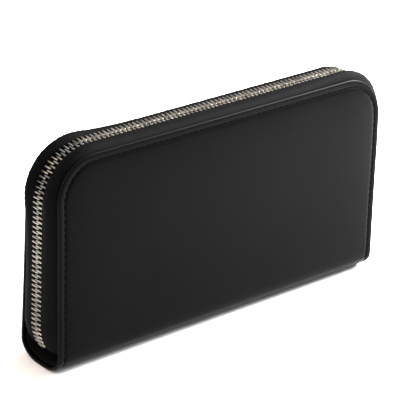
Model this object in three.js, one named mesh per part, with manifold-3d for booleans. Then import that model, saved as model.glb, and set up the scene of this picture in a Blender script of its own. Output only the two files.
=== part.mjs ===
// A long zip-around wallet that stands on its folded spine.
// Millimetres. +X runs along the wallet, +Y towards the back cover, +Z up from the flat of the spine.

import * as THREE from 'three';
import { mergeVertices } from 'three/addons/utils/BufferGeometryUtils.js';
import Module from 'manifold-3d';

const wasm = await Module();
wasm.setup();

// Driving dimensions.
const LENGTH = 192;
const HEIGHT = 104;
const CORNER_RADIUS = 20.5;
const WAIST_HALF = 13.3;
const TOP_NARROWING = 2.8;
const TOP_FROM_Z = 60;
const FOOT_SWELL = 1.6;
const FOOT_SWELL_TO_Z = 75;
const FOOT_SWELL_POWER = 1.6;
const FOOT_HALF = WAIST_HALF + FOOT_SWELL;
const SPINE_CURVE = 9;
const SPINE_FLAT_HALF = 2.5;
const GAP = 0.3;

// Each cover swings on a line inside its half of the spine's curve.
const PIVOT_Y = 8.6;
const PIVOT_Z = 4.6;
const SPINE_REACH = 9.0;
const COVER_CLEAR = SPINE_REACH + GAP;

// Layers, as depths from the outside of a cover.
const LEATHER = { outer: 0, inner: 1.6 };
const BOARD = { outer: 1.9, inner: 2.6 };
const LINING = { outer: 2.9, inner: 3.4 };
const SPINE_LINING = { outer: 1.9, inner: 2.4 };
const BOARD_INSET = 9;
const LINING_INSET = 2;

// Card slots: rows of strips laid like shingles, in two columns on each side.
const SLOT_ROWS = 4;
const SLOT_PITCH = 14;
const SLOT_HEIGHT = 19;
const SLOT_BOTTOM = 15;
const SLOT_THICK = 0.5;
const SLOT_TUCK_DEPTH = 4.0;
const SLOT_LIP_DEPTH = 5.1;
const SLOT_WIDTH = 86;
const SLOT_COLUMN_X = 44.5;

// Main zip.
const CHAIN_STAND_OFF = 1.9;
const CHAIN_CORNER_RADIUS = 25;
const TOOTH_PITCH = 2.4;
const TOOTH_WIDTH = 0.9;
const TOOTH_REACH = 0.8;
const TOOTH_HALF_THICK = 1.1;
const BEAD_INNER = 2.2;
const BEAD_OUTER = 3.0;
const TAPE_EDGE = BEAD_OUTER + GAP;
const TAPE_THICK = 0.5;
const TAPE_FLAT_TO = 5.4;
const TAPE_MARGIN = 7;
const TAPE_SHOULDER = 0.62;
const TAPE_SHOULDER_SINK = 0.1;
const TAPE_TURN_SINK = 1.5;
const TAPE_TURN_INSET = 0.5;
const TAPE_SEAM_SINK = 3.2;
const CHAIN_START_Z = 13;
const FOOT_TEETH_TOP_Z = 21.5;
const TAPE_START_Z = 14;
const RIGHT_BEAD_END_Z = 14.6;
const RIGHT_TEETH_START_Z = 18.6;
const RIGHT_TEETH_TOP_Z = 78;
const STOP_HALF = 1.3;
const STOP_INNER_Y = 0.5;
const TOP_STOP_Z = [11.8, 14.3];
const BOTTOM_STOP_Z = [10.2, 12.7];

// Coin pocket between the two halves.
const COIN_HALF_LENGTH = 84;
const COIN_INNER_Y = 2.25;
const COIN_WALL = 0.65;
const COIN_BOTTOM_Z = 4;
const COIN_WALL_TOP_Z = 78;
const COIN_ZIP_Z = 83.5;
const COIL_HALF_THICK = 0.9;
const COIL_EDGE = 0.15;
const COIL_OUTER = 2.1;
const COIN_ZIP_HALF_LENGTH = 80;
const COIL_END_X = 69.3;
const COIN_TAPE_THICK = 0.4;
const COIN_TAPE_DROP = 11.5;
const COIN_TAPE_BEND = [[4.0, 0], [4.4, -0.7], [3.9, -3.4]];
const COIN_TAPE_ON_WALL = 5.5;

// Zip-end gussets, folded like an accordion.
const GUSSET_X = 88.5;
const GUSSET_FOLD_DEPTH = 11;
const GUSSET_PANELS = 4;
const GUSSET_INNER_Y = 3.6;
const GUSSET_PLEAT = 0.72;
const GUSSET_OUTER_Y = 8.2;
const GUSSET_THICK = 0.4;
const GUSSET_FLARE = 1;
const GUSSET_BOTTOM_Z = 15;
const GUSSET_TOP_Z = 76;

// Sliders: the main one, and a smaller one of the same pattern for the coin pocket.
const MAIN_SLIDER = {
  length: 11, halfWidth: 4.3, plate: 1.2, channel: 1.5, slot: 0.75, lip: 0.7, post: 1.4, postLength: 3,
  bailLength: 4.4, bailHeight: 3, bailThick: 1, bailWidth: 1.8,
};
const COIN_SLIDER = {
  length: 8, halfWidth: 3.3, plate: 0.8, channel: 1.25, slot: 0.7, lip: 0.6, post: 0.9, postLength: 2.2,
  bailLength: 3.6, bailHeight: 2.5, bailThick: 0.8, bailWidth: 1.4,
};
// Cuts on the corners of both sliders' plates, as [across, along], and how their insides meet.
const SLIDER_NOSE_CUT = [0.9, 1.2];
const SLIDER_TAIL_CUT = [0.8, 1];
const SLIDER_TAIL_TAPER = 0.5;
const SLIDER_OVERLAP = 0.2;
const POST_INSET = 0.3;
const POST_SHOULDER = 0.5;
const PULLER_END_STEPS = 10;
const MAIN_PULLER = { length: 18, width: 5, thick: 1.2, hole: 2.9 };
const COIN_PULLER = { length: 14, width: 4, thick: 1, hole: 2.4 };
const MAIN_SLIDER_Z = 15.2;
const COIN_SLIDER_X = 68;

const PIVOT_FACETS = 48;
const COVER_FOOT_Z = 5.6;
const COVER_STEPS = 12;
const SPINE_TRIM = 4;
const ARC_STEPS = 8;
const SIDE_STEPS = 7;
const SIDES = [[-1, 'front'], [1, 'back']];
const ENDS = [[-1, 'left'], [1, 'right']];

const LEATHER_BLACK = { color: 0x1a1a1b, roughness: 0.45, metalness: 0 };
const LINING_BLACK = { color: 0x202022, roughness: 0.85, metalness: 0 };
const BOARD_GREY = { color: 0x8b8578, roughness: 0.9, metalness: 0 };
const TAPE_BLACK = { color: 0x161617, roughness: 0.8, metalness: 0 };
const NICKEL = { color: 0xb9b4aa, roughness: 0.3, metalness: 1 };

const wallet = new THREE.Group();

function addMesh(name, geometry, finish, parent = wallet) {
  const mesh = new THREE.Mesh(geometry, new THREE.MeshStandardMaterial(finish));
  mesh.name = name;
  parent.add(mesh);
  return mesh;
}

// Half the wallet's thickness at a height: full over the folded spine, drawn in towards the zipped top.
function halfThickness(z) {
  const rise = Math.max(0, z - TOP_FROM_Z) / (HEIGHT - TOP_FROM_Z);
  const drop = Math.min(1, Math.max(0, FOOT_SWELL_TO_Z - z) / (FOOT_SWELL_TO_Z - SPINE_CURVE));
  return WAIST_HALF - TOP_NARROWING * rise * rise + FOOT_SWELL * drop ** FOOT_SWELL_POWER;
}

function toManifold(geometry) {
  const bare = geometry.clone();
  bare.deleteAttribute('normal');
  bare.deleteAttribute('uv');
  const merged = mergeVertices(bare, 1e-4);
  return new wasm.Manifold(new wasm.Mesh({
    numProp: 3,
    vertProperties: new Float32Array(merged.attributes.position.array),
    triVerts: new Uint32Array(merged.index.array),
  }));
}

function toGeometry(solid) {
  const mesh = solid.getMesh();
  const geometry = new THREE.BufferGeometry();
  geometry.setAttribute('position', new THREE.BufferAttribute(mesh.vertProperties, 3));
  geometry.setIndex(new THREE.BufferAttribute(mesh.triVerts, 1));
  return geometry;
}

// A profile of [y, z] points carried along X.
function alongX(points, length) {
  const shape = new THREE.Shape(points.map(([y, z]) => new THREE.Vector2(y, z)));
  const geometry = new THREE.ExtrudeGeometry(shape, { depth: length, bevelEnabled: false });
  geometry.applyMatrix4(new THREE.Matrix4().set(0, 0, 1, -length / 2, 1, 0, 0, 0, 0, 1, 0, 0, 0, 0, 0, 1));
  return geometry;
}

// A box given by its lowest and highest corners.
function boxBetween(low, high) {
  const size = high.map((value, i) => value - low[i]);
  const geometry = new THREE.BoxGeometry(...size);
  geometry.translate(...low.map((value, i) => value + size[i] / 2));
  return geometry;
}

// The face-on outline of a cover: square at the spine, rounded at the two top corners.
function outlinePrism(inset) {
  const half = LENGTH / 2 - inset;
  const top = HEIGHT - inset;
  const radius = CORNER_RADIUS - inset;
  const shape = new THREE.Shape();
  shape.moveTo(-half, 0);
  shape.lineTo(half, 0);
  shape.lineTo(half, top - radius);
  shape.absarc(half - radius, top - radius, radius, 0, Math.PI / 2, false);
  shape.lineTo(-half + radius, top);
  shape.absarc(-half + radius, top - radius, radius, Math.PI / 2, Math.PI, false);
  const depth = 4 * FOOT_HALF;
  const settings = { depth, bevelEnabled: false, curveSegments: ARC_STEPS };
  const geometry = new THREE.ExtrudeGeometry(shape, settings);
  geometry.rotateX(Math.PI / 2);
  geometry.translate(0, depth / 2, 0);
  return toManifold(geometry);
}

function pivotCylinder(side, radius) {
  const geometry = new THREE.CylinderGeometry(radius, radius, 2 * LENGTH, PIVOT_FACETS);
  geometry.rotateZ(Math.PI / 2);
  geometry.translate(0, side * PIVOT_Y, PIVOT_Z);
  return toManifold(geometry);
}

// One layer of a cover, between two depths, clear of the spine by an arc about the cover's pivot.
function coverLayer(side, layer, inset) {
  const heights = [COVER_FOOT_Z];
  for (let step = 0; step <= COVER_STEPS; step += 1) {
    heights.push(SPINE_CURVE + ((HEIGHT - SPINE_CURVE) * step) / COVER_STEPS);
  }
  const outer = heights.map((z) => [side * (halfThickness(z) - layer.outer), z]);
  const inner = heights.map((z) => [side * (halfThickness(z) - layer.inner), z]);
  const profile = [...outer, ...inner.reverse()];
  const slab = toManifold(alongX(side > 0 ? profile : profile.reverse(), LENGTH));
  return toGeometry(slab.intersect(outlinePrism(inset)).subtract(pivotCylinder(side, COVER_CLEAR)));
}

// One layer of the U-shaped spine: a flat foot, an elliptical curve each side, cut off on the pivot arcs.
function spineLayer(layer, length) {
  const curve = (depth) => {
    const points = [];
    for (let step = 0; step <= 2 * ARC_STEPS; step += 1) {
      const angle = (Math.PI / 2) * (step / (2 * ARC_STEPS));
      const wide = FOOT_HALF - SPINE_FLAT_HALF - depth;
      const tall = SPINE_CURVE - depth;
      points.push([SPINE_FLAT_HALF + wide * Math.cos(angle), SPINE_CURVE - tall * Math.sin(angle)]);
    }
    points.unshift([points[0][0], SPINE_CURVE + SPINE_TRIM]);
    return points;
  };
  const half = (points) => [...points, ...points.map(([y, z]) => [-y, z]).reverse()];
  const outer = half(curve(layer.outer));
  const inner = half(curve(layer.inner));
  const band = toManifold(alongX([...outer, ...inner.reverse()].reverse(), length));
  const middle = toManifold(boxBetween([-LENGTH, -PIVOT_Y, -1], [LENGTH, PIVOT_Y, PIVOT_Z]));
  const reach = pivotCylinder(-1, SPINE_REACH).add(pivotCylinder(1, SPINE_REACH)).add(middle);
  return toGeometry(band.intersect(reach));
}

// A closed body from shared points and faces, with its faces turned outwards.
function closedBody(positions, index) {
  const corner = (i) => new THREE.Vector3(...positions[i]);
  let volume = 0;
  for (let i = 0; i < index.length; i += 3) {
    volume += corner(index[i]).dot(corner(index[i + 1]).cross(corner(index[i + 2])));
  }
  const geometry = new THREE.BufferGeometry();
  geometry.setAttribute('position', new THREE.Float32BufferAttribute(positions.flat(), 3));
  geometry.setIndex(volume > 0 ? index : index.slice().reverse());
  return geometry;
}

// A closed body through rings of [x, y, z] points. The flat section gives the two end faces.
function loft(rings, section) {
  const count = rings[0].length;
  const index = [];
  for (let ring = 0; ring < rings.length - 1; ring += 1) {
    for (let i = 0; i < count; i += 1) {
      const a = ring * count + i;
      const b = ring * count + ((i + 1) % count);
      index.push(a, b, b + count, a, b + count, a + count);
    }
  }
  const clockwise = THREE.ShapeUtils.isClockWise(section);
  const last = (rings.length - 1) * count;
  for (const [a, b, c] of THREE.ShapeUtils.triangulateShape(section, [])) {
    const cap = clockwise ? [c, b, a] : [a, b, c];
    index.push(cap[2], cap[1], cap[0], last + cap[0], last + cap[1], last + cap[2]);
  }
  return closedBody(rings.flat(), index);
}

// The outline of a thin ribbon that follows a line of [a, b] points.
function ribbonSection(points, thickness) {
  const offset = (sign) => points.map(([a, b], i) => {
    const before = points[Math.max(i - 1, 0)];
    const after = points[Math.min(i + 1, points.length - 1)];
    const run = Math.hypot(after[0] - before[0], after[1] - before[1]);
    const shift = (sign * thickness) / 2 / run;
    return [a - (after[1] - before[1]) * shift, b + (after[0] - before[0]) * shift];
  });
  return [...offset(1), ...offset(-1).reverse()];
}

// The centre line of the main zip: up the left end, round a corner, along the top and down the right end.
const ARC_CENTRE_X = LENGTH / 2 + CHAIN_STAND_OFF - CHAIN_CORNER_RADIUS;
const ARC_CENTRE_Z = HEIGHT + CHAIN_STAND_OFF - CHAIN_CORNER_RADIUS;
const SIDE_RUN = ARC_CENTRE_Z - CHAIN_START_Z;
const ARC_RUN = (Math.PI / 2) * CHAIN_CORNER_RADIUS;
const TOP_RUN = 2 * ARC_CENTRE_X;
const ZIP_RUN = 2 * SIDE_RUN + 2 * ARC_RUN + TOP_RUN;

function zipPoint(run) {
  if (run > ZIP_RUN / 2) {
    const mirrored = zipPoint(ZIP_RUN - run);
    return { x: -mirrored.x, z: mirrored.z, outX: -mirrored.outX, outZ: mirrored.outZ };
  }
  if (run < SIDE_RUN) {
    return { x: -ARC_CENTRE_X - CHAIN_CORNER_RADIUS, z: CHAIN_START_Z + run, outX: -1, outZ: 0 };
  }
  if (run < SIDE_RUN + ARC_RUN) {
    const angle = (run - SIDE_RUN) / CHAIN_CORNER_RADIUS;
    const outX = -Math.cos(angle);
    const outZ = Math.sin(angle);
    const x = -ARC_CENTRE_X + CHAIN_CORNER_RADIUS * outX;
    return { x, z: ARC_CENTRE_Z + CHAIN_CORNER_RADIUS * outZ, outX, outZ };
  }
  const x = -ARC_CENTRE_X + run - SIDE_RUN - ARC_RUN;
  return { x, z: ARC_CENTRE_Z + CHAIN_CORNER_RADIUS, outX: 0, outZ: 1 };
}

// A point beside the zip: its place along the run, its y, and how far it stands out from the centre line.
function besideZip(run, y, out) {
  const { x, z, outX, outZ } = zipPoint(run);
  return [x + outX * out, y, z + outZ * out];
}

// One woven tape: flat beside its teeth, then over the edge and down inside the cover.
function zipTape(side) {
  const sectionAt = (run) => {
    const { z, outZ } = zipPoint(run);
    const seam = (out) => halfThickness(z + outZ * out) - LEATHER.inner - GAP - TAPE_THICK / 2;
    const foot = -CHAIN_STAND_OFF - TAPE_MARGIN;
    const shoulder = TAPE_FLAT_TO + (seam(0) - TAPE_FLAT_TO) * TAPE_SHOULDER;
    return ribbonSection([
      [TAPE_EDGE, 0], [TAPE_FLAT_TO, 0], [shoulder, -TAPE_SHOULDER_SINK],
      [seam(-TAPE_TURN_SINK) - TAPE_TURN_INSET, -TAPE_TURN_SINK],
      [seam(-TAPE_SEAM_SINK), -TAPE_SEAM_SINK], [seam(foot), foot],
    ], TAPE_THICK);
  };
  const runs = [];
  const startRun = TAPE_START_Z - CHAIN_START_Z;
  const addRuns = (from, to, steps) => {
    for (let step = 0; step < steps; step += 1) {
      runs.push(from + ((to - from) * step) / steps);
    }
  };
  addRuns(startRun, SIDE_RUN, SIDE_STEPS);
  addRuns(SIDE_RUN, SIDE_RUN + ARC_RUN, ARC_STEPS);
  addRuns(SIDE_RUN + ARC_RUN, ZIP_RUN - SIDE_RUN - ARC_RUN, 1);
  addRuns(ZIP_RUN - SIDE_RUN - ARC_RUN, ZIP_RUN - SIDE_RUN, ARC_STEPS);
  addRuns(ZIP_RUN - SIDE_RUN, ZIP_RUN - startRun, SIDE_STEPS);
  runs.push(ZIP_RUN - startRun);
  const rings = runs.map((run) => sectionAt(run).map(([y, out]) => besideZip(run, side * y, out)));
  return loft(rings, sectionAt(startRun).map(([y, out]) => new THREE.Vector2(y, out)));
}

// One row of teeth on its bead, over a stretch of the run. The two rows' teeth lie between each other's.
function toothRow(side, from, to, teethFrom, teethTo) {
  const phase = side < 0 ? 0 : TOOTH_PITCH / 2;
  const edges = [];
  for (let centre = phase; centre < ZIP_RUN; centre += TOOTH_PITCH) {
    const low = centre - TOOTH_WIDTH / 2;
    const high = centre + TOOTH_WIDTH / 2;
    if (low > Math.max(from, teethFrom) && high < Math.min(to, teethTo)) {
      edges.push([low, high]);
    }
  }
  const levels = [BEAD_OUTER, BEAD_INNER, -TOOTH_REACH];
  const positions = [];
  const index = [];
  const quad = (a, b, c, d) => index.push(a, b, c, a, c, d);
  const station = (run) => {
    const first = positions.length;
    for (const y of levels) {
      positions.push(besideZip(run, side * y, TOOTH_HALF_THICK));
      positions.push(besideZip(run, side * y, -TOOTH_HALF_THICK));
    }
    return first;
  };
  const bead = (a, b) => {
    quad(a, a + 2, b + 2, b);
    quad(a + 3, a + 1, b + 1, b + 3);
    quad(a + 1, a, b, b + 1);
  };
  const start = station(from);
  quad(start, start + 1, start + 3, start + 2);
  let previous = start;
  for (const [low, high] of edges) {
    const a = station(low);
    const b = station(high);
    bead(previous, a);
    quad(previous + 2, previous + 3, a + 3, a + 2);
    bead(a, b);
    quad(a + 2, a + 4, b + 4, b + 2);
    quad(a + 5, a + 3, b + 3, b + 5);
    quad(a + 4, a + 5, b + 5, b + 4);
    quad(a + 2, a + 3, a + 5, a + 4);
    quad(b + 3, b + 2, b + 4, b + 5);
    previous = b;
  }
  const end = station(to);
  bead(previous, end);
  quad(previous + 2, previous + 3, end + 3, end + 2);
  quad(end + 1, end, end + 2, end + 3);
  const used = new Map();
  const kept = [];
  const compact = index.map((i) => {
    if (!used.has(i)) {
      used.set(i, kept.length);
      kept.push(positions[i]);
    }
    return used.get(i);
  });
  return closedBody(kept, compact);
}

// A slider, with X across the zip, Y along its travel and Z outwards. Its wedge post is at the -Y end.
function sliderGeometry(s) {
  const half = s.length / 2;
  const [noseAcross, noseAlong] = SLIDER_NOSE_CUT;
  const [tailAcross, tailAlong] = SLIDER_TAIL_CUT;
  const tail = s.halfWidth - SLIDER_TAIL_TAPER;
  const rightSide = [
    [s.halfWidth - noseAcross, -half], [s.halfWidth, -half + noseAlong], [s.halfWidth, 0],
    [tail, half - tailAlong], [tail - tailAcross, half],
  ];
  const leftSide = rightSide.map(([x, y]) => [-x, y]).reverse();
  const outline = new THREE.Shape([...rightSide, ...leftSide].map(([x, y]) => new THREE.Vector2(x, y)));
  const plate = (from) => {
    const geometry = new THREE.ExtrudeGeometry(outline, { depth: s.plate, bevelEnabled: false });
    geometry.translate(0, 0, from);
    return toManifold(geometry);
  };
  const block = (low, high) => toManifold(boxBetween(low, high));
  const lipInner = s.halfWidth - s.lip;
  let body = plate(s.channel).add(plate(-s.channel - s.plate));
  for (const sign of [-1, 1]) {
    const acrossLow = Math.min(sign * lipInner, sign * s.halfWidth);
    const lip = (low, high) => block([acrossLow, -half + noseAlong, low], [acrossLow + s.lip, 0, high]);
    body = body.add(lip(s.slot, s.channel + SLIDER_OVERLAP));
    body = body.add(lip(-s.channel - SLIDER_OVERLAP, -s.slot));
  }
  const postNose = -half + POST_INSET;
  const postShoulder = -half + s.postLength * POST_SHOULDER;
  const postOutline = new THREE.Shape([
    [-s.post, postNose], [s.post, postNose], [s.post, postShoulder], [0, -half + s.postLength],
    [-s.post, postShoulder],
  ].map(([x, y]) => new THREE.Vector2(x, y)));
  const postDepth = 2 * (s.channel + SLIDER_OVERLAP);
  const post = new THREE.ExtrudeGeometry(postOutline, { depth: postDepth, bevelEnabled: false });
  post.translate(0, 0, -postDepth / 2);
  const top = s.channel + s.plate;
  const bail = block(
    [-s.bailWidth / 2, -s.bailLength / 2, top - SLIDER_OVERLAP],
    [s.bailWidth / 2, s.bailLength / 2, top + s.bailHeight],
  ).subtract(block(
    [-s.bailWidth, -s.bailLength / 2 + s.bailThick, top],
    [s.bailWidth, s.bailLength / 2 - s.bailThick, top + s.bailHeight - s.bailThick],
  ));
  return toGeometry(body.add(toManifold(post)).add(bail));
}

// Where a puller's cross-bar sits in the bail, above the slider's middle.
function bailCentre(s) {
  return s.channel + s.plate + (s.bailHeight - s.bailThick) / 2;
}

// A puller with its cross-bar on the origin, lying along -Y.
function pullerGeometry(p) {
  const bar = p.thick / 2;
  const half = p.width / 2;
  const arm = p.hole / 2;
  const outline = new THREE.Shape();
  outline.moveTo(half, bar);
  outline.lineTo(-half, bar);
  outline.lineTo(-half, -p.length + half);
  outline.absarc(0, -p.length + half, half, Math.PI, 2 * Math.PI, false);
  outline.lineTo(half, bar);
  const window = new THREE.Path([
    [-arm, -bar], [arm, -bar], [arm, -bar - p.hole], [-arm, -bar - p.hole],
  ].map(([x, y]) => new THREE.Vector2(x, y)));
  outline.holes.push(window);
  const settings = { depth: p.thick, bevelEnabled: false, curveSegments: PULLER_END_STEPS };
  const geometry = new THREE.ExtrudeGeometry(outline, settings);
  geometry.translate(0, 0, -p.thick / 2);
  return geometry;
}

// One card-slot strip: tucked in at its foot, proud at its lip, and following the cover's lean.
function cardSlot(side, row) {
  const low = SLOT_BOTTOM + row * SLOT_PITCH;
  const high = low + SLOT_HEIGHT;
  const face = (depthLow, depthHigh) => [
    [side * (halfThickness(low) - depthLow), low],
    [side * (halfThickness(high) - depthHigh), high],
  ];
  const half = SLOT_THICK / 2;
  const outer = face(SLOT_TUCK_DEPTH - half, SLOT_LIP_DEPTH - half);
  const inner = face(SLOT_TUCK_DEPTH + half, SLOT_LIP_DEPTH + half);
  const profile = [...outer, ...inner.reverse()];
  return alongX(side > 0 ? profile : profile.reverse(), SLOT_WIDTH);
}

// A gusset: a thin strip pleated twice, from the coin pocket's side to the lining.
function gusset(side, end) {
  const line = [[GUSSET_X, GUSSET_INNER_Y]];
  for (let fold = 1; fold <= GUSSET_PANELS; fold += 1) {
    line.push([GUSSET_X - (fold % 2) * GUSSET_FOLD_DEPTH, GUSSET_INNER_Y + fold * GUSSET_PLEAT]);
  }
  line.push([GUSSET_X + GUSSET_FLARE, GUSSET_OUTER_Y]);
  const section = ribbonSection(line, GUSSET_THICK).map(([x, y]) => new THREE.Vector2(end * x, side * y));
  const height = GUSSET_TOP_Z - GUSSET_BOTTOM_Z;
  const shape = new THREE.Shape(section);
  const geometry = new THREE.ExtrudeGeometry(shape, { depth: height, bevelEnabled: false });
  geometry.translate(0, 0, GUSSET_BOTTOM_Z);
  return geometry;
}

// One coin-zip tape: flat beside the coil, then over and down the outside of the pocket wall.
function coinTape(side) {
  const wallFace = COIN_INNER_Y + COIN_WALL + GAP + COIN_TAPE_THICK / 2;
  const line = [
    [COIL_OUTER + GAP, COIN_ZIP_Z],
    ...COIN_TAPE_BEND.map(([y, drop]) => [y, COIN_ZIP_Z + drop]),
    [wallFace, COIN_ZIP_Z - COIN_TAPE_ON_WALL],
    [wallFace, COIN_ZIP_Z - COIN_TAPE_DROP],
  ];
  const section = ribbonSection(line, COIN_TAPE_THICK).map(([y, z]) => [side * y, z]);
  return alongX(side > 0 ? section.reverse() : section, 2 * COIN_ZIP_HALF_LENGTH);
}

// A box on one side of the wallet, given by its nearest and furthest y.
function sideBox(side, x, y, z) {
  const across = side > 0 ? y : [-y[1], -y[0]];
  return boxBetween([x[0], across[0], z[0]], [x[1], across[1], z[1]]);
}

function addShell() {
  addMesh('spine_leather', spineLayer(LEATHER, LENGTH), LEATHER_BLACK);
  addMesh('spine_lining', spineLayer(SPINE_LINING, LENGTH - 2 * LINING_INSET), LINING_BLACK);
  for (const [side, name] of SIDES) {
    addMesh(`cover_${name}`, coverLayer(side, LEATHER, 0), LEATHER_BLACK);
    addMesh(`cover_board_${name}`, coverLayer(side, BOARD, BOARD_INSET), BOARD_GREY);
    addMesh(`cover_lining_${name}`, coverLayer(side, LINING, LINING_INSET), LINING_BLACK);
  }
}

function addCardSlots() {
  for (const [side, name] of SIDES) {
    for (const [column, columnName] of [[-1, 'left'], [1, 'right']]) {
      for (let row = 0; row < SLOT_ROWS; row += 1) {
        const slotName = `card_slot_${name}_${columnName}_${row + 1}`;
        const slot = addMesh(slotName, cardSlot(side, row), LEATHER_BLACK);
        slot.position.x = column * SLOT_COLUMN_X;
      }
    }
  }
}

// Each row of teeth is in three: a foot that stays joined, the long run, and the slider's end.
function addMainZip() {
  const footRun = FOOT_TEETH_TOP_Z - CHAIN_START_Z;
  const splitRun = ZIP_RUN - (RIGHT_TEETH_TOP_Z - CHAIN_START_Z);
  const rowEnd = ZIP_RUN - (RIGHT_BEAD_END_Z - CHAIN_START_Z);
  const teethEnd = ZIP_RUN - (RIGHT_TEETH_START_Z - CHAIN_START_Z);
  for (const [side, name] of SIDES) {
    addMesh(`zip_tape_${name}`, zipTape(side), TAPE_BLACK);
    addMesh(`zip_teeth_foot_${name}`, toothRow(side, 0, footRun, 0, footRun), NICKEL);
    addMesh(`zip_teeth_${name}`, toothRow(side, footRun + GAP, splitRun, footRun, splitRun), NICKEL);
    addMesh(`zip_teeth_end_${name}`, toothRow(side, splitRun + GAP, rowEnd, splitRun, teethEnd), NICKEL);
    const stopX = LENGTH / 2 + CHAIN_STAND_OFF;
    const stopRun = [stopX - STOP_HALF, stopX + STOP_HALF];
    const stop = sideBox(side, stopRun, [STOP_INNER_Y, BEAD_OUTER], TOP_STOP_Z);
    addMesh(`zip_top_stop_${name}`, stop, NICKEL);
  }
  const closedX = -(LENGTH / 2 + CHAIN_STAND_OFF);
  const bottomStop = boxBetween(
    [closedX - STOP_HALF, -BEAD_OUTER, BOTTOM_STOP_Z[0]],
    [closedX + STOP_HALF, BEAD_OUTER, BOTTOM_STOP_Z[1]],
  );
  addMesh('zip_bottom_stop', bottomStop, NICKEL);
}

function addCoinPocket() {
  const length = [-COIN_HALF_LENGTH, COIN_HALF_LENGTH];
  const between = COIN_INNER_Y - GAP;
  for (const [side, name] of SIDES) {
    const wallAcross = [COIN_INNER_Y, COIN_INNER_Y + COIN_WALL];
    const wall = sideBox(side, length, wallAcross, [COIN_BOTTOM_Z, COIN_WALL_TOP_Z]);
    addMesh(`coin_wall_${name}`, wall, LEATHER_BLACK);
    addMesh(`coin_zip_tape_${name}`, coinTape(side), TAPE_BLACK);
    const coilRun = [-COIN_ZIP_HALF_LENGTH, COIL_END_X];
    const coilTall = [COIN_ZIP_Z - COIL_HALF_THICK, COIN_ZIP_Z + COIL_HALF_THICK];
    addMesh(`coin_zip_coil_${name}`, sideBox(side, coilRun, [COIL_EDGE, COIL_OUTER], coilTall), NICKEL);
  }
  const baseTop = COIN_BOTTOM_Z + COIN_WALL;
  const base = boxBetween([length[0], -between, COIN_BOTTOM_Z], [length[1], between, baseTop]);
  addMesh('coin_pocket_base', base, LINING_BLACK);
  for (const [end, name] of ENDS) {
    const x = end * (COIN_HALF_LENGTH - COIN_WALL / 2);
    const low = [x - COIN_WALL / 2, -between, baseTop + GAP];
    const high = [x + COIN_WALL / 2, between, COIN_WALL_TOP_Z];
    addMesh(`coin_pocket_end_${name}`, boxBetween(low, high), LINING_BLACK);
  }
}

function addGussets() {
  for (const [side, sideName] of SIDES) {
    for (const [end, endName] of ENDS) {
      addMesh(`gusset_${sideName}_${endName}`, gusset(side, end), LEATHER_BLACK);
    }
  }
}

// The main slider is parked at the foot of the right end, with its puller hanging.
function addMainSlider() {
  const place = new THREE.Group();
  place.position.set(LENGTH / 2 + CHAIN_STAND_OFF, 0, MAIN_SLIDER_Z + MAIN_SLIDER.length / 2);
  const turned = new THREE.Matrix4();
  turned.makeBasis(new THREE.Vector3(0, 1, 0), new THREE.Vector3(0, 0, 1), new THREE.Vector3(1, 0, 0));
  place.rotation.setFromRotationMatrix(turned);
  wallet.add(place);
  addMesh('main_slider', sliderGeometry(MAIN_SLIDER), NICKEL, place);
  const puller = addMesh('main_puller', pullerGeometry(MAIN_PULLER), NICKEL, place);
  puller.position.z = bailCentre(MAIN_SLIDER);
}

// The coin slider is parked at the right, with its puller lying along the zip.
function addCoinSlider() {
  const place = new THREE.Group();
  place.position.set(COIN_SLIDER_X, 0, COIN_ZIP_Z);
  place.rotation.z = Math.PI / 2;
  wallet.add(place);
  addMesh('coin_slider', sliderGeometry(COIN_SLIDER), NICKEL, place);
  const puller = addMesh('coin_puller', pullerGeometry(COIN_PULLER), NICKEL, place);
  puller.position.z = bailCentre(COIN_SLIDER);
}

addShell();
addCardSlots();
addMainZip();
addCoinPocket();
addGussets();
addMainSlider();
addCoinSlider();

export default wallet;
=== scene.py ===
"""A zip-around long wallet in black calf leather, closed and standing on its folded spine."""

import math
from bisect import bisect

import bmesh
import bpy
from mathutils import Matrix, Vector, noise


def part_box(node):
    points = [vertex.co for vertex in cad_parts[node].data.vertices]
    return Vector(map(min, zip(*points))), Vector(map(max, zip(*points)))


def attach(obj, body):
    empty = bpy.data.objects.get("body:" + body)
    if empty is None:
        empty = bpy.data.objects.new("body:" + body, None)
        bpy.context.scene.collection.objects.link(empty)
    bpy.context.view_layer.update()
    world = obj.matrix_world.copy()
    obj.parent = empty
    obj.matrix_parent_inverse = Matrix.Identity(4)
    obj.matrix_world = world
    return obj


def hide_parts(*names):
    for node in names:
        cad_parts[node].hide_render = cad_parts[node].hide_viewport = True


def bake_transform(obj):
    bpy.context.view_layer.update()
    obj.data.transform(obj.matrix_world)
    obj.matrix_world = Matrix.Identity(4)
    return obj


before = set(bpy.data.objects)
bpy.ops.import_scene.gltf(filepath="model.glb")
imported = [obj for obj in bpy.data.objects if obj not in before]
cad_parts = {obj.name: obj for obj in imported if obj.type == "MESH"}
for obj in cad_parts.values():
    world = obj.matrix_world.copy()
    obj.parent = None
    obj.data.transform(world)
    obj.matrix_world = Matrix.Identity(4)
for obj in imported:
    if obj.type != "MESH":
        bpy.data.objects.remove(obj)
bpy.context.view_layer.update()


# The leather shell. One sheet of smooth black calf, 1.6 mm thick, is cut with two rounded corners at each
# end, wrapped round as front cover, spine and back cover, and its cut edges are sanded and painted. It is
# made here as two halves that meet under the spine.
METRES = 0.001
cover_low, cover_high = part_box("cover_front")
spine_low, spine_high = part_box("spine_leather")
half_length = cover_high.x / METRES
height = cover_high.z / METRES
foot_half = spine_high.y / METRES
foot_swell = 1.6
foot_swell_to_z = 75
foot_swell_power = 1.6
waist_half = foot_half - foot_swell
top_narrowing = 2.8
top_from_z = 60
corner_radius = 20.5
spine_flat = 2.5
spine_curve = 9
leather_thick = 1.6
bend_start_run = 4
bend_end_run = 22

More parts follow.
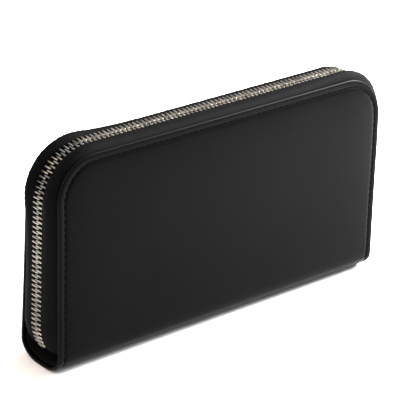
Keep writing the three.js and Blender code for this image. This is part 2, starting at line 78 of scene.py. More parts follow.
# The cut edge is rounded over its rim and creased at the stitches, and the middle stands full.
rim_drop = 0.5
rim_width = 0.8
rim_power = 2.5
stitch_inset = 3.3
crease_depth = 0.3
crease_width = 0.6
fullness = 0.6
fullness_reach = 6
full_above_run = 30
ripple_height = 0.1
ripple_along = 34
ripple_up = 26
ripple_fades_over = 6
flesh_rim_drop = 0.35
flesh_rim_width = 0.5
painted_width = 0.2

# The mesh is fine round the spine and the corners, and coarse over the flat of the cover.
bend_steps = 24
fine_to_run = 18
fine_spacing = 1.2
corner_step = 0.11
insets = [0, 0.12, 0.3, 0.55, 0.9, 1.5, 2.2, 2.7, 3.0, 3.3, 3.6, 3.9, 4.4, 5.5, 7.5, 10.5, 15, corner_radius]
same_place = 1e-6


def srgb(code):
    """A colour written as sRGB hex, turned to linear red, green, blue and alpha."""
    values = [int(code[i : i + 2], 16) / 255 for i in (1, 3, 5)]
    return [v / 12.92 if v <= 0.04045 else ((v + 0.055) / 1.055) ** 2.4 for v in values] + [1]


def add_node(tree, kind, inputs, **settings):
    """Adds a shader node. inputs gives each input a value, or a (node, output) pair to link it to."""
    node = tree.nodes.new("ShaderNode" + kind)
    for name, value in settings.items():
        setattr(node, name, value)
    for key, value in inputs.items():
        if isinstance(value, tuple) and isinstance(value[0], bpy.types.Node):
            tree.links.new(value[0].outputs[value[1]], node.inputs[key])
        else:
            node.inputs[key].default_value = value
    return node


def new_material(name):
    """An empty node material with its output, ready for a shader."""
    material = bpy.data.materials.new(name)
    material.use_nodes = True
    material.node_tree.nodes.clear()
    return material, material.node_tree


def half_thickness(z):
    """Half the closed wallet's thickness at a height: full over the spine, narrow at the zipped top."""
    rise = max(0, z - top_from_z) / (height - top_from_z)
    drop = min(1, max(0, foot_swell_to_z - z) / (foot_swell_to_z - spine_curve))
    return waist_half - top_narrowing * rise * rise + foot_swell * drop**foot_swell_power


def measured(points):
    """A line of 2D points with the distance along it at each one."""
    runs = [0.0]
    for a, b in zip(points, points[1:]):
        runs.append(runs[-1] + math.dist(a, b))
    return points, runs


def walk(line, run):
    """The place and direction at a distance along a measured line."""
    points, runs = line
    i = min(max(bisect(runs, run), 1), len(runs) - 1)
    share = (run - runs[i - 1]) / (runs[i] - runs[i - 1])
    here, there = Vector(points[i - 1]), Vector(points[i])

    def direction(k):
        return (Vector(points[min(k + 1, len(points) - 1)]) - Vector(points[max(k - 1, 0)])).normalized()

    return here.lerp(there, share), direction(i - 1).lerp(direction(i), share).normalized()


def shell_line():
    """Half the shell seen from its end, as (y, z) points: the spine's flat, its curve, then the cover."""
    points = [(0, 0)]
    for step in range(bend_steps + 1):
        angle = math.pi / 2 * step / bend_steps
        across = spine_flat + (foot_half - spine_flat) * math.sin(angle)
        points.append((across, spine_curve * (1 - math.cos(angle))))
    for step in range(1, bend_steps + 1):
        z = spine_curve + (height - spine_curve) * step / bend_steps
        points.append((half_thickness(z), z))
    return measured(points)


shell = shell_line()
sheet_length = shell[1][-1]


def on_shell(side, x, run, depth):
    """A point of the shell: x along the wallet, run up the sheet from the spine, depth below its outside."""
    place, along = walk(shell, run)
    return Vector((x, side * (place.x - depth * along.y), place.y + depth * along.x))


def even(start, end, spacing):
    """Evenly spaced values from start to end, about spacing apart."""
    steps = max(1, round(abs(end - start) / spacing))
    return [start + (end - start) * i / steps for i in range(steps + 1)]


def cut_outline(inset, spacing=3.0):
    """The cut edge of half the sheet as (x, run) points, some way inside it: up, over the top and down."""
    radius = corner_radius - inset
    centre_x = half_length - corner_radius
    centre_run = sheet_length - corner_radius
    rows = even(0, fine_to_run, fine_spacing) + even(fine_to_run, centre_run, spacing)[1:]
    up = [(-centre_x - radius, run) for run in rows]
    arc = []
    for angle in even(0, math.pi / 2, corner_step)[1:-1]:
        arc.append((-centre_x - radius * math.cos(angle), centre_run + radius * math.sin(angle)))
    top = [(x, centre_run + radius) for x in even(-centre_x, centre_x, spacing)]
    mirrored = [(-x, run) for x, run in reversed(up + arc)]
    return up + arc + top + mirrored


def new_piece(name, mesh_data, materials, smooth_angle=40):
    """A shown piece from mesh data in millimetres, with its normals out and soft shading."""
    mesh = bpy.data.meshes.new(name)
    bmesh.ops.scale(mesh_data, vec=(METRES, METRES, METRES), verts=mesh_data.verts)
    bmesh.ops.recalc_face_normals(mesh_data, faces=mesh_data.faces)
    mesh_data.to_mesh(mesh)
    mesh_data.free()
    piece = bpy.data.objects.new(name, mesh)
    bpy.context.scene.collection.objects.link(piece)
    for material in materials:
        mesh.materials.append(material)
    mesh.polygons.foreach_set("use_smooth", [True] * len(mesh.polygons))
    mesh.set_sharp_from_angle(angle=math.radians(smooth_angle))
    return piece


def edge_depth(inset, run):
    """How far the outside sinks near the cut edge: a rounded rim, a crease at the stitches, a full middle.
    The spine rests flat on the floor, so the cover only fills out above its bend."""
    rim = rim_drop * max(0, 1 - inset / rim_width) ** rim_power
    crease = crease_depth * math.exp(-(((inset - stitch_inset) / crease_width) ** 2))
    above = min(1, run / full_above_run)
    inside_seam = max(0, inset - stitch_inset)
    swell = fullness * above * above * (1 - math.exp(-inside_seam / fullness_reach))
    return rim + crease - swell


def leather_half(name, side):
    """Half the sheet: the grain side, the flesh side and the cut edge between them, as one closed mesh."""
    mesh_data = bmesh.new()
    place_on_cut = mesh_data.loops.layers.uv.new("cut_mm")
    flat = mesh_data.verts.layers.float_vector.new("flat_mm")

    def vertex(x, run, depth):
        made = mesh_data.verts.new(on_shell(side, x, run, depth))
        made[flat] = (x, run, 0)
        return made

    def surface(depth_at):
        rings = []
        for inset in insets:
            rings.append([vertex(x, run, depth_at(inset, x, run)) for x, run in cut_outline(inset)])
        for outer, inner in zip(rings, rings[1:]):
            for i in range(len(outer) - 1):
                mesh_data.faces.new((outer[i], outer[i + 1], inner[i + 1], inner[i]))
        middle = cut_outline(corner_radius)
        left_x = middle[0][0] + same_place
        top_run = sheet_length - corner_radius - same_place
        rows = sorted({run for x, run in middle[: len(middle) // 2] if x <= left_x})
        columns = sorted({round(x, 6) for x, run in middle if run >= top_run})
        grid = [[vertex(x, run, depth_at(corner_radius, x, run)) for x in columns] for run in rows]
        for low, high in zip(grid, grid[1:]):
            for i in range(len(columns) - 1):
                mesh_data.faces.new((low[i], low[i + 1], high[i + 1], high[i]))
        return rings[0]

    def outside(inset, x, run):
        ripple = ripple_height * noise.noise(Vector((x / ripple_along, run / ripple_up, side * 3)))
        return edge_depth(inset, run) + ripple * min(1, inset / ripple_fades_over, run / full_above_run)

    def inside(inset, x, run):
        return leather_thick - flesh_rim_drop * max(0, 1 - inset / flesh_rim_width)

    outer_rim = surface(outside)
    inner_rim = surface(inside)
    for i in range(len(outer_rim) - 1):
        rim = mesh_data.faces.new((outer_rim[i], outer_rim[i + 1], inner_rim[i + 1], inner_rim[i]))
        rim.material_index = 1
    bmesh.ops.remove_doubles(mesh_data, verts=mesh_data.verts, dist=1e-4)
    open_edges = [edge for edge in mesh_data.edges if edge.is_boundary]
    bmesh.ops.holes_fill(mesh_data, edges=open_edges, sides=0)
    degenerate = [face for face in mesh_data.faces if face.calc_area() < 1e-7]
    bmesh.ops.delete(mesh_data, geom=degenerate, context="FACES")
    for face in mesh_data.faces:
        for loop in face.loops:
            x, run, _ = loop.vert[flat]
            loop[place_on_cut].uv = (x, run)
            if cut_inset(x, run) < painted_width:
                face.material_index = 1
    return new_piece(name, mesh_data, [calf, edge_paint])


def cut_inset(x, run):
    """How far a point of the sheet is inside its cut edge."""
    past_x = abs(x) - (half_length - corner_radius)
    past_run = run - (sheet_length - corner_radius)
    if past_x > 0 and past_run > 0:
        return corner_radius - math.hypot(past_x, past_run)
    return corner_radius - max(past_x, past_run)


# Smooth calf, drum dyed and lightly glazed: nearly black, a satin sheen, and pores too fine to count. The
# follicle pattern is about 0.35 mm across in the hide, and is drawn at 0.7 mm so that it shows at all.
calf, tree = new_material("calf_leather_glazed")
place = add_node(tree, "UVMap", {}, uv_map="cut_mm")
pores = add_node(tree, "TexVoronoi", {"Vector": (place, "UV"), "Scale": 1 / 0.7}, feature="F1")
hide = add_node(tree, "TexNoise", {"Vector": (place, "UV"), "Scale": 1 / 22, "Detail": 3})
haze = add_node(tree, "MapRange", {"Value": (hide, "Fac"), "To Min": 0.34, "To Max": 0.4})
grain = add_node(tree, "Bump", {"Height": (pores, "Distance"), "Strength": 0.05, "Distance": 0.0001})
ramp = add_node(tree, "ValToRGB", {"Fac": (hide, "Fac")})
ramp.color_ramp.elements[0].color = srgb("#020202")
ramp.color_ramp.elements[1].color = srgb("#050505")
skin = add_node(tree, "BsdfPrincipled", {
    "Base Color": (ramp, "Color"), "Roughness": (haze, "Result"), "Normal": (grain, "Normal"),
    "Specular IOR Level": 0.022, "IOR": 1.5,
})
add_node(tree, "OutputMaterial", {"Surface": (skin, "BSDF")})

# Edge paint: acrylic rolled on the sanded cut edge. It is smoother than the hide, so it takes a thin
# bright line of light.
edge_paint, tree = new_material("edge_paint_rolled_acrylic")
place = add_node(tree, "UVMap", {}, uv_map="cut_mm")
beads = add_node(tree, "TexNoise", {"Vector": (place, "UV"), "Scale": 1 / 1.5})
rolled = add_node(tree, "Bump", {"Height": (beads, "Fac"), "Strength": 0.12, "Distance": 0.0002})
paint = add_node(tree, "BsdfPrincipled", {
    "Base Color": srgb("#060606"), "Roughness": 0.42, "Normal": (rolled, "Normal"), "IOR": 1.5,
    "Specular IOR Level": 0.05,
})
add_node(tree, "OutputMaterial", {"Surface": (paint, "BSDF")})

sides = ((-1, "front"), (1, "back"))


def bend_with_cover(piece, side):
    """Finds where the bend over the spine would start and end, and bakes the piece's placement into its mesh;
    the piece does not bend with its cover.
    """
    start = on_shell(side, 0, bend_start_run, 0) * METRES
    end = on_shell(side, 0, bend_end_run, 0) * METRES
    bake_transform(piece)


for side, name in sides:
    half = leather_half(f"leather_{name}", side)
    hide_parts(f"cover_{name}")
    if side < 0:
        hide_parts("spine_leather")
    bend_with_cover(half, side)


# The stitching. Bonded black thread, 0.5 mm thick, sewn 3.3 mm inside the cut edge at 3.4 mm a stitch,
# through leather, tape and lining. Each stitch dives into its hole at both ends.
stitch_pitch = 3.4
stitch_length = 2.7
thread_radius = 0.27
thread_corners = 6
thread_depth = 0.26
needle_step = 0.5
unsewn_end = 12
seam_spacing = 1.0
# Along each stitch: the share of its length, the share of its full radius, and how many radii it stands up.
stitch_sections = ((-0.5, 0.45, -0.9), (-0.38, 0.9, -0.15), (0, 1, 0.1),
                   (0.38, 0.9, -0.15), (0.5, 0.45, -0.9))


def loft(mesh_data, rings):
    """Skins closed rings of vertices into a tube, and caps both its ends."""
    for a, b in zip(rings, rings[1:]):
        for i in range(len(a)):
            after = (i + 1) % len(a)
            mesh_data.faces.new((a[i], a[after], b[after], b[i]))
    mesh_data.faces.new(rings[0])
    mesh_data.faces.new(rings[-1][::-1])


def add_stitch(mesh_data, centre, along, out):
    """One stitch: a short round of thread that lies on the surface and dips at its ends."""
    across = along.cross(out).normalized()
    rings = []
    for share, size, lift in stitch_sections:
        middle = centre + along * stitch_length * share + out * thread_radius * lift
        ring = []
        for corner in range(thread_corners):
            angle = 2 * math.pi * corner / thread_corners
            reach = across * math.cos(angle) + out * math.sin(angle)
            ring.append(mesh_data.verts.new(middle + reach * thread_radius * size))
        rings.append(ring)
    loft(mesh_data, rings)


# Bonded polyester thread: matt with a faint waxed sheen.
thread, tree = new_material("polyester_thread_bonded")
place = add_node(tree, "TexCoord", {})
twist = add_node(tree, "TexNoise", {"Vector": (place, "Object"), "Scale": 1 / (0.4 * METRES)})
strands = add_node(tree, "Bump", {"Height": (twist, "Fac"), "Strength": 0.4, "Distance": 0.0001})
fibre = add_node(tree, "BsdfPrincipled", {
    "Base Color": srgb("#020202"), "Roughness": 0.8, "Normal": (strands, "Normal"),
    "Specular IOR Level": 0.02,
})
add_node(tree, "OutputMaterial", {"Surface": (fibre, "BSDF")})

for side, name in sides:
    mesh_data = bmesh.new()
    seam = measured(cut_outline(stitch_inset, seam_spacing))
    stitches = int((seam[1][-1] - 2 * unsewn_end) / stitch_pitch)
    for number in range(stitches):
        run = unsewn_end + number * stitch_pitch
        (x, up), _ = walk(seam, run)
        steps = (-needle_step, needle_step)
        before, after = (on_shell(side, *walk(seam, run + step)[0], 0) for step in steps)
        centre = on_shell(side, x, up, thread_depth)
        out = (on_shell(side, x, up, 0) - on_shell(side, x, up, 1)).normalized()
        add_stitch(mesh_data, centre, (after - before).normalized(), out)
    stitching = new_piece(f"stitching_{name}", mesh_data, [thread])
    bend_with_cover(stitching, side)


# The main zip's tapes. Two woven polyester tapes, 0.5 mm thick, run up the left end, over the top and down
# the right end. Each is sewn inside its cover, bulges out past the cut edge and carries the teeth.
tape_thick = 0.5
chain_stand_off = 1.9
chain_radius = 25
chain_x = half_length + chain_stand_off
chain_top_z = height + chain_stand_off
chain_foot_z = 9.5
chain_spacing = 1.0
chain_corner_step = 0.04
foot_curl_from = 23
foot_curl_over = 13
foot_curl = 3.4
foot_curl_power = 2.2


def chain_line():
    """The closed chain's middle as (x, z) points, from the left foot over the top to the right foot."""
    centre_x = chain_x - chain_radius
    centre_z = chain_top_z - chain_radius
    points = []
    for z in even(chain_foot_z, centre_z, chain_spacing):
        curl = foot_curl * (max(0, foot_curl_from - z) / foot_curl_over) ** foot_curl_power
        points.append((-chain_x + curl, z))
    for angle in even(0, math.pi / 2, chain_corner_step)[1:-1]:
        points.append((-centre_x - chain_radius * math.cos(angle), centre_z + chain_radius * math.sin(angle)))
    points += [(x, centre_z + chain_radius) for x in even(-centre_x, centre_x, chain_spacing)]
    for angle in even(math.pi / 2, 0, chain_corner_step)[1:-1]:
        points.append((centre_x + chain_radius * math.cos(angle), centre_z + chain_radius * math.sin(angle)))
    return measured(points + [(chain_x, z) for z in even(centre_z, chain_foot_z, chain_spacing)])


chain = chain_line()
chain_length = chain[1][-1]
left_run = chain_top_z - chain_radius - chain_foot_z


def by_chain(side, run, across, outward):
    """A point beside the chain: run along it, across it towards one cover, and outward from the wallet."""
    place, along = walk(chain, run)
    return Vector((place.x - along.y * outward, side * across, place.y + along.x * outward))


# The tape beside the chain, as the share of the way to its seam and the height past the chain's middle.
tape_shoulder = ((0, 0.02), (0.16, 0.05), (0.32, 0.04), (0.48, -0.12), (0.63, -0.45), (0.76, -0.95),
                 (0.87, -1.6), (0.95, -2.4), (1, -3.4), (1, -6), (1, -8.9))
corded_edge = 2.4
shoulder_from = 3.3
seam_clearance = 0.6
row_spacing = 1.3
pucker_height = 0.09
pucker_pace = 2.1
free_from_column = 3
held_from_column = 7
slack_height = 0.1
slack_length = 5
bulge_reach = 27
corner_bulge = {(-1, "left"): 1.2, (1, "left"): 3.8, (-1, "right"): 2.4, (1, "right"): 0.2}


def tape_section(side, run):
    """The tape's way from the teeth to its seam, as (across, outward): flat, over a shoulder, then down."""
    place, along = walk(chain, run)
    seam_z = min(height, place.y + along.x * tape_shoulder[-1][1])
    seam = half_thickness(seam_z) - leather_thick - seam_clearance
    corner = left_run + chain_radius * math.pi / 4
    bulge = 0
    for end, corner_run in (("left", corner), ("right", chain_length - corner)):
        bulge += corner_bulge[side, end] * math.exp(-(((run - corner_run) / bulge_reach) ** 2))
    points = [(corded_edge, 0)]
    for share, outward in tape_shoulder:
        full = bulge * math.sin(math.pi * min(1, share)) ** 0.8 if share < 1 else 0
        points.append((shoulder_from + (seam - shoulder_from) * share, outward + full))
    return points


def tape_ribbon(name, side, material):
    """One tape, both faces of it, drawn through its section at each step along the chain."""
    mesh_data = bmesh.new()
    weave = mesh_data.loops.layers.uv.new("weave_mm")
    flat = mesh_data.verts.layers.float_vector.new("flat_mm")
    rows = []
    for run in even(0, chain_length, row_spacing):
        section = tape_section(side, run)
        width = measured(section)[1]
        slack = slack_height * noise.noise(Vector((run / slack_length, side * 4, 0)))
        pucker = pucker_height * math.sin(run * pucker_pace) + slack
        row = []
        for layer in (0.5, -0.5):
            for i, (across, outward) in enumerate(section):
                before, after = section[max(i - 1, 0)], section[min(i + 1, len(section) - 1)]
                slope = Vector((after[0] - before[0], after[1] - before[1])).normalized()
                free = min(1, i / free_from_column) * (i < held_from_column)
                lift = layer * tape_thick + pucker * free
                moved = by_chain(side, run, across - slope.y * lift, outward + slope.x * lift)
                vert = mesh_data.verts.new(moved)
                vert[flat] = (run, width[i], 0)
                row.append(vert)
        count = len(section)
        rows.append(row[:count] + row[count:][::-1])
    loft(mesh_data, rows)
    for face in mesh_data.faces:
        for loop in face.loops:
            loop[weave].uv = loop.vert[flat].xy
    return new_piece(name, mesh_data, [material], 60)


# Polyester tape, woven as a herringbone twill and dyed: matt, with fine ribs aslant. The ribs are about
# 0.6 mm apart, and are drawn at 1 mm so that they show. A wave texture at scale 1 repeats every 0.314.
rib_pitch = 1.0
wave_repeat = 0.314
tape_cloth, tree = new_material("polyester_tape_twill")
place = add_node(tree, "UVMap", {}, uv_map="weave_mm")
aslant = add_node(tree, "Mapping", {"Vector": (place, "UV"), "Rotation": (0, 0, math.radians(52))})
rib_scale = wave_repeat / rib_pitch
ribs = add_node(tree, "TexWave", {"Vector": (aslant, "Vector"), "Scale": rib_scale, "Distortion": 0.6},
                bands_direction="X")
shade = add_node(tree, "ValToRGB", {"Fac": (ribs, "Fac")})
shade.color_ramp.elements[0].color = srgb("#020202")
shade.color_ramp.elements[1].color = srgb("#0b0b0d")
relief = add_node(tree, "Bump", {"Height": (ribs, "Fac"), "Strength": 0.3, "Distance": 0.0003})
cloth = add_node(tree, "BsdfPrincipled", {
    "Base Color": (shade, "Color"), "Roughness": 0.7, "Normal": (relief, "Normal"),
    "Specular IOR Level": 0.03,
})
add_node(tree, "OutputMaterial", {"Surface": (cloth, "BSDF")})


def open_with_cover(piece):
    """Bakes the piece's placement into its mesh; the zip does not follow its cover as it opens."""
    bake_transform(piece)


for side, name in sides:
    tape = tape_ribbon(f"tape_{name}", side, tape_cloth)
    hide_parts(f"zip_tape_{name}")
    tape_width = measured(tape_section(side, chain_length / 2))[1][-1]
    open_with_cover(tape)


# The main zip's teeth. Nickel-plated brass, each tooth stamped and clamped on the tape's corded edge at
# 2.4 mm a tooth. The two rows sit half a step apart and lock together.
tooth_pitch = 2.4
# Along each tooth: how far across the chain, half its width and half its height.
tooth_steps = ((3.4, 0.3, 0.4), (3.22, 0.5, 0.66), (1.3, 0.52, 0.72), (0.75, 0.48, 0.68),
               (-0.1, 0.48, 0.68), (-0.66, 0.42, 0.6), (-0.92, 0.26, 0.4))
bevel = 0.55
bevelled_corners = ((1, bevel), (bevel, 1), (-bevel, 1), (-1, bevel),
                    (-1, -bevel), (-bevel, -1), (bevel, -1), (1, -bevel))
first_tooth_run = 2.0
slider_clear_z = 18.6


def add_tooth(mesh_data, side, run):
    """One tooth: a bevelled bar from the corded edge to just past the middle, narrower at its tip."""
    place, along = walk(chain, run)
    forward = Vector((along.x, 0, along.y))
    outward = Vector((-along.y, 0, along.x))
    rings = []
    for across, half_wide, half_tall in tooth_steps:
        ring = []
        for wide, tall in bevelled_corners:
            point = Vector((place.x, side * across, place.y))
            ring.append(mesh_data.verts.new(point + forward * half_wide * wide + outward * half_tall * tall))
        rings.append(ring)
    loft(mesh_data, rings)


# Nickel plate over brass, tumbled: bright and slightly warm, a soft gloss, its tone and gloss varying at
# random from grey to bright.
nickel, tree = new_material("nickel_plate_tumbled")
place = add_node(tree, "TexCoord", {})
wear = add_node(tree, "TexNoise", {"Vector": (place, "Object"), "Scale": 1 / (2.5 * METRES), "Detail": 4})
tone = add_node(tree, "ValToRGB", {"Fac": (wear, "Fac")})
tone.color_ramp.elements[0].position, tone.color_ramp.elements[1].position = 0.35, 0.65
tone.color_ramp.elements[0].color = srgb("#65635e")
tone.color_ramp.elements[1].color = srgb("#999690")
polish = add_node(tree, "MapRange", {"Value": (wear, "Fac"), "To Min": 0.22, "To Max": 0.38})
plate = add_node(tree, "BsdfPrincipled", {
    "Base Color": (tone, "Color"), "Metallic": 1.0, "Roughness": (polish, "Result"),
})
add_node(tree, "OutputMaterial", {"Surface": (plate, "BSDF")})

for side, name in sides:
    mesh_data = bmesh.new()
    run = first_tooth_run + (tooth_pitch / 2 if side > 0 else 0)
    while run < chain_length - (slider_clear_z - chain_foot_z):
        add_tooth(mesh_data, side, run)
        run += tooth_pitch
    teeth = new_piece(f"teeth_{name}", mesh_data, [nickel], 50)
    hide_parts(f"zip_teeth_{name}", f"zip_teeth_foot_{name}", f"zip_teeth_end_{name}")
    open_with_cover(teeth)


# The sliders, pullers and stops. Die-cast zinc, nickel plated to match the teeth, with their edges rounded
# by tumbling. The shapes are the fixed frame's, with the edges softened.
def softened(node, body, material, soften):
    """A copy of a frame part with its flat faces whole and its edges rounded."""
    mesh_data = bmesh.new()
    mesh_data.from_mesh(bpy.data.objects[node].data)
    bmesh.ops.remove_doubles(mesh_data, verts=mesh_data.verts, dist=1e-6)
    bmesh.ops.dissolve_limit(
        mesh_data, angle_limit=math.radians(3), verts=mesh_data.verts, edges=mesh_data.edges,
    )
    bmesh.ops.scale(mesh_data, vec=(1 / METRES, 1 / METRES, 1 / METRES), verts=mesh_data.verts)
    piece = new_piece(f"{node}_finished", mesh_data, [material], 35)
    rounding = piece.modifiers.new("rounding", "BEVEL")
    rounding.width = soften * METRES
    rounding.segments = 2
    rounding.limit_method = "ANGLE"
    rounding.angle_limit = math.radians(35)
    rounding.harden_normals = True
    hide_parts(node)
    if body:
        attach(piece, body)
    return piece


tumbled_edge = {"main_slider": 0.22, "main_puller": 0.25, "coin_slider": 0.16, "coin_puller": 0.2}
for node, soften in tumbled_edge.items():
    softened(node, node, nickel, soften)
for name in ("front", "back"):
    softened(f"zip_top_stop_{name}", f"{name}_cover", nickel, 0.25)

# The bottom stop is a staple clamped over the last teeth, where the tapes curl into the wallet's foot.
staple_run = 1.0
staple_corners = 10
staple_steps = ((-2.5, 0.2, 0.3), (-2.3, 0.45, 0.7), (-1, 0.5, 0.95), (0, 0.5, 1.02),
                (1, 0.5, 0.95), (2.3, 0.45, 0.7), (2.5, 0.2, 0.3))
mesh_data = bmesh.new()
place, along = walk(chain, staple_run)
forward = Vector((along.x, 0, along.y))
outward = Vector((-along.y, 0, along.x))
rings = []
for across, half_wide, half_tall in staple_steps:
    ring = []
    for step in range(staple_corners):
        angle = 2 * math.pi * step / staple_corners
        reach = forward * half_wide * math.cos(angle) + outward * half_tall * math.sin(angle)
        ring.append(mesh_data.verts.new(Vector((place.x, across, place.y)) + reach))
    rings.append(ring)
loft(mesh_data, rings)
staple = new_piece("bottom_stop_staple", mesh_data, [nickel], 50)
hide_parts("zip_bottom_stop")
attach(staple, "centre")


# The lining. Black polyester twill, glued over a stiffening board inside each cover and over the spine. Its
# ribs are drawn at 0.9 mm so that they show.
lining_rib_pitch = 0.9
lining_cloth, tree = new_material("polyester_lining_twill")
place = add_node(tree, "TexCoord", {})
aslant = add_node(tree, "Mapping", {"Vector": (place, "Object"), "Rotation": (0, math.radians(45), 0)})
rib_scale = wave_repeat / (lining_rib_pitch * METRES)
ribs = add_node(tree, "TexWave", {"Vector": (aslant, "Vector"), "Scale": rib_scale, "Distortion": 0.5},
                bands_direction="X")
shade = add_node(tree, "ValToRGB", {"Fac": (ribs, "Fac")})
shade.color_ramp.elements[0].color = srgb("#040404")
shade.color_ramp.elements[1].color = srgb("#0d0d0e")
relief = add_node(tree, "Bump", {"Height": (ribs, "Fac"), "Strength": 0.3, "Distance": 0.0002})
cloth = add_node(tree, "BsdfPrincipled", {
    "Base Color": (shade, "Color"), "Roughness": 0.85, "Normal": (relief, "Normal"),
    "Specular IOR Level": 0.1,
})
add_node(tree, "OutputMaterial", {"Surface": (cloth, "BSDF")})

# Bonded leather board: grey-brown, with felted flecks.
board, tree = new_material("fibre_board_pressed")
place = add_node(tree, "TexCoord", {})
flecks = add_node(tree, "TexNoise", {"Vector": (place, "Object"), "Scale": 1 / (1.2 * METRES), "Detail": 6})
shade = add_node(tree, "ValToRGB", {"Fac": (flecks, "Fac")})
shade.color_ramp.elements[0].color = srgb("#5f5a50")
shade.color_ramp.elements[1].color = srgb("#8f897c")
pulp = add_node(tree, "BsdfPrincipled", {"Base Color": (shade, "Color"), "Roughness": 0.9})
add_node(tree, "OutputMaterial", {"Surface": (pulp, "BSDF")})


def finish_node(node, material):
    """A frame part whose shape is right keeps it and takes a finish."""
    for slot in bpy.data.objects[node].material_slots:
        slot.link = "OBJECT"
        slot.material = material


for name in ("front", "back"):
    finish_node(f"cover_lining_{name}", lining_cloth)
    finish_node(f"cover_board_{name}", board)
finish_node("spine_lining", lining_cloth)


# The card slots. Eight strips of thin black calf, skived and turned at the lip, are laid like shingles in two
# columns inside each cover and sewn through their sides. Pores are drawn at 0.7 mm, twice their real spacing.
slot_calf, tree = new_material("calf_leather_skived")
place = add_node(tree, "TexCoord", {})
pores = add_node(tree, "TexVoronoi", {"Vector": (place, "Object"), "Scale": 1 / (0.7 * METRES)}, feature="F1")
hide = add_node(tree, "TexNoise", {"Vector": (place, "Object"), "Scale": 1 / (20 * METRES), "Detail": 3})
haze = add_node(tree, "MapRange", {"Value": (hide, "Fac"), "To Min": 0.4, "To Max": 0.52})
grain = add_node(tree, "Bump", {"Height": (pores, "Distance"), "Strength": 0.1, "Distance": 0.0001})
ramp = add_node(tree, "ValToRGB", {"Fac": (hide, "Fac")})
ramp.color_ramp.elements[0].color = srgb("#101011")
ramp.color_ramp.elements[1].color = srgb("#1a1a1b")
skin = add_node(tree, "BsdfPrincipled", {
    "Base Color": (ramp, "Color"), "Roughness": (haze, "Result"), "Normal": (grain, "Normal"),
    "Specular IOR Level": 0.32, "IOR": 1.5,
})
add_node(tree, "OutputMaterial", {"Surface": (skin, "BSDF")})

slot_rows = 4
for name in ("front", "back"):
    for end in ("left", "right"):
        for row in range(1, slot_rows + 1):
            softened(f"card_slot_{name}_{end}_{row}", f"{name}_cover", slot_calf, 0.14)


# The gussets. Thin black calf, pleated like an accordion, joins the coin pocket to each cover near the ends
# and stops the wallet from opening flat.
gusset_tip_y = 8.1
for side, name in sides:
    for end in ("left", "right"):
        node = f"gusset_{name}_{end}"
        gusset = softened(node, None, slot_calf, 0.12)
        end = (0, side * gusset_tip_y * METRES, 0)
        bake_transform(gusset)


# The coin pocket. Two walls of thin calf with a base and ends of lining cloth, closed by a nylon coil zip
# along its top.
for name in ("front", "back"):
    softened(f"coin_wall_{name}", "centre", slot_calf, 0.2)
    finish_node(f"coin_zip_tape_{name}", lining_cloth)
for node in ("coin_pocket_base", "coin_pocket_end_left", "coin_pocket_end_right"):
    finish_node(node, lining_cloth)

# The coil is a flattened spiral of nylon monofilament, 0.45 mm thick at 1.2 mm a turn. It is metallised to
# match the main zip, so it shines like its teeth.
coil_pitch = 1.2
filament_radius = 0.22
turn_steps = 12
filament_sides = 5

for side, name in sides:
    coil_low, coil_high = (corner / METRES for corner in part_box(f"coin_zip_coil_{name}"))
    middle_y = (coil_low.y + coil_high.y) / 2
    middle_z = (coil_low.z + coil_high.z) / 2
    wide = (coil_high.y - coil_low.y) / 2 - filament_radius
    tall = (coil_high.z - coil_low.z) / 2 - filament_radius
    mesh_data = bmesh.new()
    rings = []
    first_x = coil_low.x + filament_radius + (coil_pitch / 2 if side > 0 else 0)
    turns = int((coil_high.x - filament_radius - first_x) / coil_pitch)
    for step in range(turns * turn_steps + 1):
        angle = 2 * math.pi * step / turn_steps
        outward = Vector((0, math.cos(angle), math.sin(angle)))
        x = first_x + coil_pitch * step / turn_steps
        centre = Vector((x, middle_y + wide * outward.y, middle_z + tall * outward.z))
        ring = []
        for corner in range(filament_sides):
            turn = 2 * math.pi * corner / filament_sides
            reach = outward * math.cos(turn) + Vector((math.sin(turn), 0, 0))
            ring.append(mesh_data.verts.new(centre + reach * filament_radius))
        rings.append(ring)
    loft(mesh_data, rings)
    coil = new_piece(f"coin_coil_{name}", mesh_data, [nickel], 80)
    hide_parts(f"coin_zip_coil_{name}")
    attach(coil, "centre")


# The stand: a pale floor, a wide white sky, two soft white lamps and a weak warm one. The camera stands to
# the left of the front cover and above it.
floor_half = 6
mesh_data = bmesh.new()
corners = [mesh_data.verts.new((x, y, 0)) for x, y in ((-1, -1), (1, -1), (1, 1), (-1, 1))]
mesh_data.faces.new(corners)
bmesh.ops.scale(mesh_data, vec=(floor_half / METRES,) * 3, verts=mesh_data.verts)
pale, tree = new_material("card_matt_white")
sweep = add_node(tree, "BsdfPrincipled", {
    "Base Color": srgb("#f4f4f4"), "Roughness": 0.9, "Specular IOR Level": 0.1,
})
add_node(tree, "OutputMaterial", {"Surface": (sweep, "BSDF")})
floor = new_piece("floor", mesh_data, [pale])

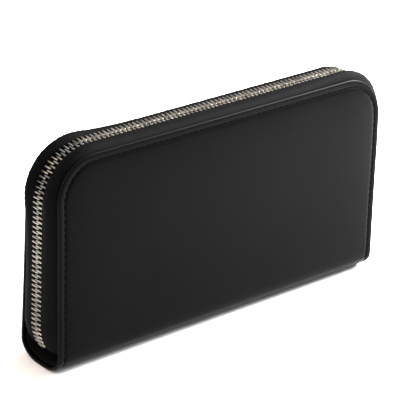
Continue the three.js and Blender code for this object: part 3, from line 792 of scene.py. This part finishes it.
scene = bpy.context.scene
scene.view_settings.view_transform = "Standard"
sky = bpy.data.worlds.new("white_sky")
scene.world = sky
sky.use_nodes = True
tree = sky.node_tree
tree.nodes.clear()
place = add_node(tree, "TexCoord", {})
apart = add_node(tree, "SeparateXYZ", {"Vector": (place, "Generated")})
dome = add_node(tree, "MapRange", {"Value": (apart, "Z"), "From Min": 0.0, "To Min": 0.6, "To Max": 1.45})
glow = add_node(tree, "Background", {"Color": srgb("#ffffff"), "Strength": (dome, "Result")})
add_node(tree, "OutputWorld", {"Surface": (glow, "Background")})


def add_lamp(name, place, aim, size, power, colour="#ffffff"):
    """An oblong soft lamp, placed and aimed in metres."""
    light = bpy.data.lights.new(name, "AREA")
    light.shape = "RECTANGLE"
    light.size, light.size_y = size
    light.energy = power
    light.color = srgb(colour)[:3]
    lamp = bpy.data.objects.new(name, light)
    lamp.location = place
    lamp.rotation_mode = "QUATERNION"
    lamp.rotation_quaternion = (Vector(place) - Vector(aim)).to_track_quat("Z", "Y")
    scene.collection.objects.link(lamp)


add_lamp("lamp_top", (0.1, -0.1, 0.9), (0, 0, 0.05), (0.8, 0.5), 2)
add_lamp("lamp_right", (0.52, -0.14, 0.36), (0.44, -0.08, 0), (0.25, 0.4), 34)
add_lamp("lamp_left_warm", (-0.45, 0.2, 0.35), (-0.3, 0.2, 0), (0.3, 0.3), 1.5, "#ffd9ae")

azimuth, elevation, roll = (math.radians(angle) for angle in (-40.7, 25.12, 2.75))
distance = 1033.1 * METRES
target = Vector((-5.0, 0, 58.82)) * METRES
ground = math.cos(elevation)
back = Vector((math.sin(azimuth) * ground, -math.cos(azimuth) * ground, math.sin(elevation)))
level = Vector((math.cos(azimuth), math.sin(azimuth), 0))
right = level * math.cos(roll) + back.cross(level) * math.sin(roll)
upward = back.cross(right)
lens = bpy.data.cameras.new("camera")
lens.lens = 199.5
lens.sensor_width = 36
lens.clip_start, lens.clip_end = 0.05, 20
camera = bpy.data.objects.new("camera", lens)
camera.matrix_world = Matrix((right, upward, back)).transposed().to_4x4()
camera.location = target + back * distance
scene.collection.objects.link(camera)
scene.camera = camera
